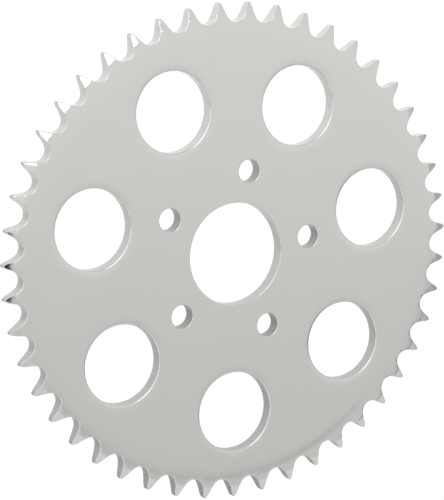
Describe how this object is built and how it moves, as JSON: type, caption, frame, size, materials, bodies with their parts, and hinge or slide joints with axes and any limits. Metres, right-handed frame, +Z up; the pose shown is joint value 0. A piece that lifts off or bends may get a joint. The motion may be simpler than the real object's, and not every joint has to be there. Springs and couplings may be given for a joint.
{
  "type": "rear sprocket",
  "caption": "Flat chrome-plated rear chain sprocket with a plain centre bore, a ring of bolt holes and a ring of round lightening holes.",
  "frame": {"origin": "centre of the bore, halfway through the plate", "axes": "+Y along the spin axis towards the back face, which seats on the hub; the front face looks along -Y; +X right and +Z up seen from the front"},
  "size_m": [0.2466, 0.0072, 0.2464],
  "materials": {
    "chrome": "bright buffed chrome plate over steel"
  },
  "bodies": {
    "root": {"sprocket_plate": "chrome"}
  },
  "joints": []
}
